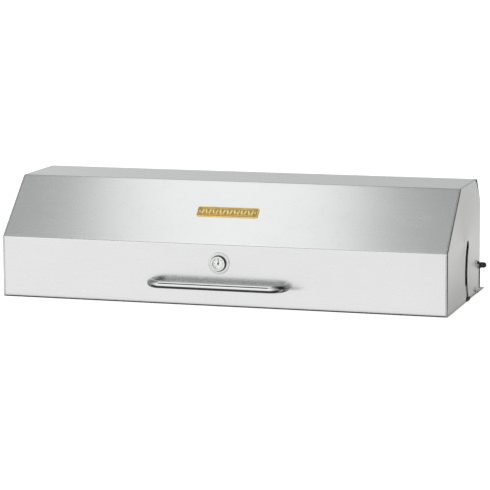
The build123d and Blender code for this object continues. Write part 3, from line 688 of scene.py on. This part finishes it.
def handle_bow():
    """The bent tube, open at its feet so that the plugs close it."""
    low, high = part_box("handle_tube")
    radius = (high.z - low.z) / 2
    path = tube_path(high.x - radius, low.y + radius, high.y, (high.z + low.z) / 2)
    up = Vector((0, 0, 1))
    bm = bmesh.new()
    layer = bm.loops.layers.uv.new("grain")
    skins = []
    for size in (radius, radius - BOW_WALL):
        rings = []
        for point, along in path:
            side = along.cross(up)
            circle = [math.cos(t) * side + math.sin(t) * up for t in turns(BOW_STEPS)]
            rings.append([bm.verts.new(point + size * spot) for spot in circle])
        around = 2 * math.pi * size / BOW_STEPS
        travelled = 0.0
        for k in range(len(rings) - 1):
            onward = travelled + (path[k + 1][0] - path[k][0]).length
            for i, face in enumerate(join_rings(bm, rings[k], rings[k + 1])):
                a, b = i * around, (i + 1) * around
                lay_grain(face, layer, (travelled, a), (travelled, b), (onward, b), (onward, a))
            travelled = onward
        skins.append(rings)
    for end in (0, -1):
        join_rings(bm, skins[0][end], skins[1][end])
    mesh = to_mesh("handle_bow", bm)
    return new_piece("handle_bow", mesh, STEEL_HANDLE, "handle_stainless", "lid", "handle_tube", crease=50)


# ---- thermometer -----------------------------------------------------------------------------
OUT = (0, -1, 0)               # heights run this way from the panel
GAUGE_STEPS = 96
DIAL_FACE = 4.92 * MM          # height of the dial's face
PRINT = 0.06 * MM              # thickness of what is printed on it
DIAL_RING = 13.9 * MM          # radius of the printed ring
RING_LINE = 0.22 * MM
DIAL_START = 225               # the scale's first angle, counter-clockwise from the right, and its sweep
DIAL_SWEEP = 270
TICKS = 31
TICKS_PER_NUMBER = 5
LONG_TICK = (2.0 * MM, 0.45 * MM)
SHORT_TICK = (1.1 * MM, 0.22 * MM)
NUMBER_RADIUS = 9.8 * MM
NUMBER_SIZE = 3.4 * MM
NEEDLE_HEIGHT = 5.9 * MM


def in_mm(*profile):
    return [(a * MM, b * MM) for a, b in profile]


def gauge_parts():
    """Everything of the thermometer that shows in front of the panel. Profiles are (radius, height)."""
    low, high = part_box("thermometer_bezel")
    origin = Vector(((low.x + high.x) / 2, FRONT_Y, (low.z + high.z) / 2))

    def turned(name, profile, material, slot, replaced, round_by=0.25 * MM):
        return lathe(name, profile, OUT, origin, material, slot, "lid", replaced, round_by=round_by,
                     steps=GAUGE_STEPS)

    turned("gauge_flange_ring", in_mm(
        (5.0, 0.02), (27.9, 0.02), (27.9, 0.9), (27.4, 1.5), (26.6, 1.9), (25.9, 2.15), (5.0, 2.15),
    ), FLANGE_STEEL, "gauge_bezel", "thermometer_flange")
    turned("gauge_cup", in_mm(
        (3.2, 2.2), (20.6, 2.2), (20.75, 2.6), (20.75, 3.3), (20.3, 3.5), (18.05, 8.9), (17.95, 9.6),
        (16.8, 9.6), (16.8, 4.4), (15.4, 3.0), (3.2, 3.0),
    ), CASE_BLACK, "gauge_case", "thermometer_case", round_by=0.2 * MM)
    turned("gauge_bezel_ring", in_mm(
        (14.85, 9.62), (17.95, 9.62), (18.0, 9.85), (17.5, 10.35), (16.9, 10.5), (16.0, 10.5), (15.2, 10.3),
        (14.8, 9.9),
    ), CHROME, "gauge_bezel", "thermometer_bezel", round_by=0.12 * MM)
    glass = turned("gauge_glass", in_mm(
        (0, 8.05), (16.75, 8.05), (16.75, 9.58), (14.0, 9.58), (8.0, 9.58), (0, 9.58),
    ), GLASS, "gauge_lens", "thermometer_lens", round_by=0.1 * MM)
    glass.visible_shadow = False
    turned("gauge_face", in_mm(
        (1.5, 4.55), (16.75, 4.55), (16.75, 5.0), (16.1, 5.0), (15.7, 4.92), (1.5, 4.92),
    ), ENAMEL, "gauge_dial", "thermometer_dial", round_by=0.08 * MM)
    gauge_marks(origin)
    gauge_numbers(origin)
    gauge_needle(origin)


def on_dial(origin, share, radius, height):
    """The angle at a share of the scale, and the place at that angle and radius."""
    turn = math.radians(DIAL_START - DIAL_SWEEP * share)
    return turn, origin + Vector((math.cos(turn) * radius, -height, math.sin(turn) * radius))


def gauge_marks(origin):
    """A ring and ticks, printed slightly proud of the dial."""
    bm = bmesh.new()
    inner, outer = DIAL_RING, DIAL_RING + RING_LINE
    base, face = DIAL_FACE, DIAL_FACE + PRINT
    ring = [(inner, base), (outer, base), (outer, face), (inner, face)]
    add_lathe(bm, ring, frame_of(OUT, origin), GAUGE_STEPS)
    for k in range(TICKS):
        length, width = SHORT_TICK if k % TICKS_PER_NUMBER else LONG_TICK
        turn, spot = on_dial(origin, k / (TICKS - 1), DIAL_RING - length / 2, DIAL_FACE)
        tilt = Matrix.Rotation(-turn, 4, "Y") @ Matrix.Rotation(math.pi / 2, 4, "X")
        add_block(bm, Matrix.Translation(spot) @ tilt, (length, width, PRINT), 0.015 * MM)
    new_piece("gauge_marks", to_mesh("gauge_marks", bm), INK, "gauge_dial", "lid")


def gauge_numbers(origin):
    """Plain numbers in hundreds, one at each long tick."""
    numbers = (TICKS - 1) // TICKS_PER_NUMBER + 1
    for k in range(numbers):
        curve = bpy.data.curves.new("gauge_number", "FONT")
        curve.body = str(100 * (k + 1))
        curve.size = NUMBER_SIZE
        curve.extrude = PRINT / 2
        curve.align_x = "CENTER"
        curve.align_y = "CENTER"
        curve.resolution_u = 3
        text = bpy.data.objects.new("gauge_number", curve)
        bpy.context.scene.collection.objects.link(text)
        bpy.context.view_layer.update()
        mesh = bpy.data.meshes.new_from_object(text.evaluated_get(bpy.context.evaluated_depsgraph_get()))
        bpy.data.objects.remove(text)
        _, spot = on_dial(origin, k / (numbers - 1), NUMBER_RADIUS, DIAL_FACE + PRINT / 2)
        mesh.transform(Matrix.Translation(spot) @ Matrix.Rotation(math.pi / 2, 4, "X"))
        mesh.name = "gauge_number_" + str(k + 1)
        mesh.materials.clear()
        new_piece(mesh.name, mesh, INK, "gauge_dial", "lid")


def gauge_needle(origin):
    """A tapered needle with a counterweight, its top edge drawn in, and a domed hub."""
    outline = in_mm((-1.0, 0), (-0.3, 12.2), (0, 13.4), (0.3, 12.2), (1.0, 0), (0.8, -2.8), (1.25, -3.8),
                    (0, -4.95), (-1.25, -3.8), (-0.8, -2.8))
    bm = bmesh.new()
    rings = []
    for keep, height in ((1.0, 0), (1.0, 0.22 * MM), (0.88, 0.34 * MM)):
        spots = [Vector((x * keep, -NEEDLE_HEIGHT - height, z * keep)) for x, z in outline]
        rings.append([bm.verts.new(origin + spot) for spot in spots])
    cap_rings(bm, rings)
    hub = in_mm((0, 5.8), (2.5, 5.8), (2.5, 6.4), (1.9, 6.9), (0.9, 7.12), (0, 7.15))
    add_lathe(bm, softened(hub, 0.2 * MM), frame_of(OUT, origin), 40)
    mesh = to_mesh("gauge_needle", bm)
    new_piece("gauge_needle", mesh, NEEDLE, "gauge_pointer", "pointer", "thermometer_pointer")


# ---- badge -----------------------------------------------------------------------------------
BADGE_HALF_X, BADGE_HALF_Y = 81 * MM, 16 * MM
BADGE_CORNER = 5 * MM
BADGE_FIELD = 1.2 * MM         # height of the recessed field
RIM = 4                        # the first RIM bands inwards from the edge are the raised rim
RIBS = 15
RIBBED = 140 * MM              # width of the ribbed part
RIB = (4.6 * MM, 14.5 * MM, 0.65 * MM)
RIB_LEAN = 14                  # degrees, to alternate sides
BAR = (138 * MM, 1.6 * MM, 0.6 * MM)
BAR_Y = 10 * MM


def badge_relief():
    """A plaque with a raised rim round a recessed field, which has leaning ribs and two plain bars. Its depth
    colours say what is sunk, for the darker gold down there."""
    plane = badge_matrix()
    levels = in_mm((0.0, 0.0), (0.0, 1.5), (0.5, 1.95), (2.0, 1.95), (2.5, 1.55), (2.75, 1.2), (3.2, 1.2))
    bm = bmesh.new()
    layer = bm.loops.layers.float_color.new("depth")

    def stain(faces, sunk):
        for face in faces:
            for loop in face.loops:
                loop[layer] = (sunk, 0, 0, 1)

    rings = []
    for inset, height in levels:
        corner = max(BADGE_CORNER - inset, 1.2 * MM)
        outline = rounded_rectangle(BADGE_HALF_X - inset, BADGE_HALF_Y - inset, corner)
        rings.append([bm.verts.new(plane @ Vector((x, y, height))) for x, y in outline])
    for k, (first, second) in enumerate(zip(rings, rings[1:])):
        stain(join_rings(bm, first, second), int(k >= RIM))
    stain([bm.faces.new(rings[0])], 0)
    stain([bm.faces.new(rings[-1])], 1)
    flat = set(bm.faces)
    for k in range(RIBS):
        spot = Matrix.Translation((RIBBED * ((k + 0.5) / RIBS - 0.5), 0, BADGE_FIELD))
        lean = Matrix.Rotation(math.radians(RIB_LEAN if k % 2 else -RIB_LEAN), 4, "Z")
        add_block(bm, plane @ spot @ lean, RIB, 0.3 * MM)
    for side in (-1, 1):
        add_block(bm, plane @ Matrix.Translation((0, side * BAR_Y, BADGE_FIELD)), BAR, 0.25 * MM)
    stain([face for face in bm.faces if face not in flat], 0)
    mesh = to_mesh("badge_relief", bm)
    new_piece("badge_relief", mesh, GOLD, "gold_badge", "lid", "badge_plate", crease=40)


def badge_matrix():
    """The badge's plane on the slope. Local X runs across, local Y up the slope and Z outwards."""
    low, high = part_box("badge_plate")
    corners = shell_outline()
    up = (corners[3] - corners[2]).normalized()
    out = Vector((-up.y, up.x))
    middle = Vector(((low.y + high.y) / 2, (low.z + high.z) / 2))
    foot = corners[2] + up * (middle - corners[2]).dot(up)
    return columns_matrix((1, 0, 0), (0, up.x, up.y), (0, out.x, out.y), (0, foot.x, foot.y))


def rounded_rectangle(half_x, half_y, radius, steps=8):
    """Points round a rectangle with arcs at its corners."""
    points = []
    for quarter, (sx, sy) in enumerate(((1, 1), (-1, 1), (-1, -1), (1, -1))):
        for k in range(steps + 1):
            turn = math.pi / 2 * (quarter + k / steps)
            points.append((sx * (half_x - radius) + radius * math.cos(turn),
                           sy * (half_y - radius) + radius * math.sin(turn)))
    return points


# ---- pivot hardware --------------------------------------------------------------------------
KNOB_PROFILE = (               # (share of the length, share of the radius) from the inner end outwards
    (0.0, 0.55), (0.0, 0.90), (0.03, 0.96), (0.07, 0.985), (0.12, 0.985), (0.60, 0.965), (0.74, 0.92),
    (0.86, 0.80), (0.945, 0.60), (0.985, 0.38), (1.0, 0.16),
)
KNOB_STEPS = 96
KNOB_FLUTES = 12
FLUTED = (0.1, 0.8)            # the share of the length that has them
FLUTE_DEPTH = 0.035            # share of the radius


def pivot_knobs():
    """Round knobs with shallow grip flutes and a domed end."""
    for side, sign in (("right", 1), ("left", -1)):
        low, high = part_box(side + "_pivot_knob")
        inner = low.x if sign > 0 else high.x
        centre = (low + high) / 2
        radius = (high.z - low.z) / 2
        bm = bmesh.new()
        rings = []
        for share, width in KNOB_PROFILE:
            depth = FLUTE_DEPTH if FLUTED[0] < share < FLUTED[1] else 0.0
            x = inner + sign * (high.x - low.x) * share
            ring = []
            for turn in turns(KNOB_STEPS):
                reach = radius * width * (1 - depth * max(0.0, math.cos(KNOB_FLUTES * turn)) ** 2)
                y, z = centre.y + reach * math.cos(turn), centre.z + reach * math.sin(turn)
                ring.append(bm.verts.new((x, y, z)))
            rings.append(ring)
        cap_rings(bm, rings)
        name = "pivot_grip_" + side
        knob = new_piece(name, to_mesh(name, bm), NYLON, "black_nylon", "frame", side + "_pivot_knob")
        knob.visible_glossy = False


# ---- assembly --------------------------------------------------------------------------------
look_camera()
bpy.context.scene.view_settings.view_transform = "Standard"
studio_world()
studio_floor()
# Painted shade under the handle, seen in reflections only.
painted_shade_sheet()
softbox("overhead", centre=(-0.32, -0.15, 1.30), target=(-0.32, -0.13, 0.22), width=0.84, depth=0.9,
        radiance=0.86)

STEEL_SHELL = brushed_steel("shell_steel", grey(0.66, -0.004), (90, 1, 1), along_uv=True)
# The end panels' folds get painted shade along the seams.
STEEL_SIDE = brushed_steel("side_steel", grey(0.63, 0.006), (1, 60, 1), roughness=0.40, fold_painted_shade=0.58)
# The handle's bends get painted shade from 145 mm out.
STEEL_HANDLE = brushed_steel("handle_steel", grey(0.64), (90, 1, 1), roughness=0.085, anisotropy=0.2,
                             along_uv=True, gouge=0.002, bend_shade_and_rough_from=145 * MM)
STEEL_FRAME = brushed_steel("frame_steel", grey(0.52), (4, 4, 1), roughness=0.38, anisotropy=0.2)
STEEL_SKIRT = brushed_steel("skirt_steel", grey(0.60), (60, 1, 1), roughness=0.34)
CHROME = plain_metal("chrome", grey(0.80), 0.09, 900, wear=0.03)
CASE_BLACK = plain_metal("case_black", (0.13, 0.13, 0.135, 1), 0.16, 1400, wear=0.03)
FLANGE_STEEL = plain_metal("flange_steel", (0.64, 0.64, 0.63, 1), 0.24, 1400, wear=0.03)
STEM_STEEL = plain_metal("stem_steel", grey(0.50), 0.22, 900)
BUSH_STEEL = plain_metal("bush_steel", (0.78, 0.78, 0.77, 1), 0.36, 1500)
ZINC = plain_metal("zinc_plate", (0.58, 0.585, 0.57, 1), 0.34, 1200, wear=0.1)
BRASS = plain_metal("brass", (0.66, 0.47, 0.20, 1), 0.30, 1200)
STRIP = plain_metal("bimetal_strip", (0.45, 0.38, 0.30, 1), 0.35, 1500)
BLACK_OXIDE = moulded("black_oxide", (0.010, 0.010, 0.011, 1), 0.45, 1800, 0.02 * MM)
NYLON = moulded("black_nylon", (0.012, 0.012, 0.013, 1), 0.42, 2600, 0.04 * MM)
RUBBER = moulded("black_rubber", (0.016, 0.016, 0.016, 1), 0.72, 1500, 0.08 * MM)
NEEDLE = moulded("needle_black", (0.02, 0.02, 0.022, 1), 0.35, 4000, 0.01 * MM)
INK = moulded("dial_ink", (0.16, 0.16, 0.165, 1), 0.55, 4000, 0.01 * MM)
GOLD = gold_plate("gold")
GLASS = lens_glass()
ENAMEL = dial_enamel()

CAD_LOOKS = {
    "brushed_stainless": STEEL_SIDE, "frame_stainless": STEEL_FRAME, "handle_stainless": STEEL_HANDLE,
    "zinc_fasteners": ZINC, "black_fasteners": BLACK_OXIDE, "bush_steel": BUSH_STEEL, "black_nylon": NYLON,
    "black_rubber": RUBBER, "gold_badge": GOLD, "gauge_bezel": CHROME, "gauge_case": CASE_BLACK,
    "gauge_lens": GLASS, "gauge_dial": ENAMEL, "gauge_pointer": NEEDLE, "gauge_brass": BRASS,
    "gauge_stem": STEM_STEEL, "bimetal": STRIP,
}
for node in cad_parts.values():
    for material_slot in node.material_slots:
        material_slot.material = CAD_LOOKS[material_slot.material.name.split(".")[0]]
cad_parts["rear_skirt"].material_slots[0].material = STEEL_SKIRT

shell_sheet()
handle_bow()
gauge_parts()
badge_relief()
pivot_knobs()
